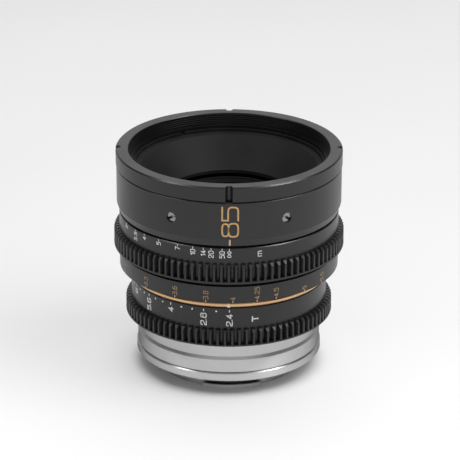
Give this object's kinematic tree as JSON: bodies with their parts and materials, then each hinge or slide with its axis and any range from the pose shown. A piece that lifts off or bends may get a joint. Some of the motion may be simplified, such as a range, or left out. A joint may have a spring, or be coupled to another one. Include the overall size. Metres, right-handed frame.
{
  "type": "cinema prime lens",
  "caption": "Cinema prime lens with a clamp-on front ring, geared focus and iris rings with distance and aperture scales, and a silver bayonet mount.",
  "frame": {"origin": "centre of the bayonet's flange seat on the optical axis", "axes": "+Z along the optical axis towards the front ring; -Y is the side with the index line"},
  "size_m": [0.0816, 0.0816, 0.0812],
  "materials": {
    "black_anodised": "satin black anodised",
    "gear_black": "satin black anodised",
    "accent_orange": "satin orange anodised",
    "silver_mount": "satin chrome",
    "baffle_black": "matt black",
    "brass": "turned",
    "steel": "bright",
    "glass": "polished, coated",
    "blade_steel": "matt black"
  },
  "bodies": {
    "housing": {"front_ring": "black_anodised", "front_barrel": "black_anodised", "barrel_set_screws": "steel", "hood_baffle": "baffle_black", "guide_tube": "black_anodised", "focus_retainer": "steel", "accent_ring": "accent_orange", "mount_spacer": "silver_mount", "mount_shim": "brass", "bayonet_flange": "silver_mount", "mount_screws": "steel", "rear_baffle": "baffle_black"},
    "focus": {"focus_ring": "black_anodised", "focus_gear": "gear_black", "focus_scale_sleeve": "black_anodised", "cam_sleeve": "brass", "focus_stop_pin": "steel"},
    "optical_block": {"block_barrel": "baffle_black", "cam_followers": "steel", "front_cell": "baffle_black", "front_element": "glass", "front_retaining_ring": "baffle_black", "front_crown": "glass", "front_flint": "glass", "front_spacer": "baffle_black", "iris_housing": "baffle_black", "cam_ring_retainer": "brass", "rear_cell": "baffle_black", "rear_flint": "glass", "rear_crown": "glass", "rear_spacer": "baffle_black", "rear_element": "glass", "rear_retaining_ring": "baffle_black"},
    "iris": {"iris_ring": "black_anodised", "iris_gear": "gear_black", "iris_drive_pin": "steel"},
    "iris_cam": {"iris_cam_ring": "steel"},
    "blade_1": {"iris_blade_1": "blade_steel"},
    "blade_2": {"iris_blade_2": "blade_steel"},
    "blade_3": {"iris_blade_3": "blade_steel"},
    "blade_4": {"iris_blade_4": "blade_steel"},
    "blade_5": {"iris_blade_5": "blade_steel"},
    "blade_6": {"iris_blade_6": "blade_steel"},
    "blade_7": {"iris_blade_7": "blade_steel"},
    "blade_8": {"iris_blade_8": "blade_steel"},
    "blade_9": {"iris_blade_9": "blade_steel"}
  },
  "joints": [
    {"name": "focus_turn", "type": "hinge", "parent": "housing", "child": "focus", "pos_m": [0, 0, 0.0427], "axis": [0, 0, 1], "range_deg": [0, 270]},
    {"name": "block_slide", "type": "slide", "parent": "housing", "child": "optical_block", "axis": [0, 0, 1], "range_m": [0, 0.00926]},
    {"name": "iris_turn", "type": "hinge", "parent": "housing", "child": "iris", "pos_m": [0, 0, 0.022], "axis": [0, 0, 1], "range_deg": [0, 101]},
    {"name": "iris_cam_turn", "type": "hinge", "parent": "optical_block", "child": "iris_cam", "pos_m": [0, 0, 0.0269], "axis": [0, 0, 1], "range_deg": [0, 101]},
    {"name": "blade_1_swing", "type": "hinge", "parent": "optical_block", "child": "blade_1", "pos_m": [0.0223, 0, 0.029], "axis": [0, 0, 1], "range_deg": [0, 29.75]},
    {"name": "blade_2_swing", "type": "hinge", "parent": "optical_block", "child": "blade_2", "pos_m": [0.01708, 0.01433, 0.029], "axis": [0, 0, 1], "range_deg": [0, 29.75]},
    {"name": "blade_3_swing", "type": "hinge", "parent": "optical_block", "child": "blade_3", "pos_m": [0.00387, 0.02196, 0.029], "axis": [0, 0, 1], "range_deg": [0, 29.75]},
    {"name": "blade_4_swing", "type": "hinge", "parent": "optical_block", "child": "blade_4", "pos_m": [-0.01115, 0.01931, 0.029], "axis": [0, 0, 1], "range_deg": [0, 29.75]},
    {"name": "blade_5_swing", "type": "hinge", "parent": "optical_block", "child": "blade_5", "pos_m": [-0.02096, 0.00763, 0.029], "axis": [0, 0, 1], "range_deg": [0, 29.75]},
    {"name": "blade_6_swing", "type": "hinge", "parent": "optical_block", "child": "blade_6", "pos_m": [-0.02096, -0.00763, 0.029], "axis": [0, 0, 1], "range_deg": [0, 29.75]},
    {"name": "blade_7_swing", "type": "hinge", "parent": "optical_block", "child": "blade_7", "pos_m": [-0.01115, -0.01931, 0.029], "axis": [0, 0, 1], "range_deg": [0, 29.75]},
    {"name": "blade_8_swing", "type": "hinge", "parent": "optical_block", "child": "blade_8", "pos_m": [0.00387, -0.02196, 0.029], "axis": [0, 0, 1], "range_deg": [0, 29.75]},
    {"name": "blade_9_swing", "type": "hinge", "parent": "optical_block", "child": "blade_9", "pos_m": [0.01708, -0.01433, 0.029], "axis": [0, 0, 1], "range_deg": [0, 29.75]}
  ],
  "couplings": [
    {"joint": "block_slide", "follows": "focus_turn", "m_per_rad": 0.001965},
    {"joint": "iris_cam_turn", "follows": "iris_turn", "ratio": 1},
    {"joint": "blade_1_swing", "follows": "iris_turn", "ratio": 0.29457},
    {"joint": "blade_2_swing", "follows": "iris_turn", "ratio": 0.29457},
    {"joint": "blade_3_swing", "follows": "iris_turn", "ratio": 0.29457},
    {"joint": "blade_4_swing", "follows": "iris_turn", "ratio": 0.29457},
    {"joint": "blade_5_swing", "follows": "iris_turn", "ratio": 0.29457},
    {"joint": "blade_6_swing", "follows": "iris_turn", "ratio": 0.29457},
    {"joint": "blade_7_swing", "follows": "iris_turn", "ratio": 0.29457},
    {"joint": "blade_8_swing", "follows": "iris_turn", "ratio": 0.29457},
    {"joint": "blade_9_swing", "follows": "iris_turn", "ratio": 0.29457}
  ]
}
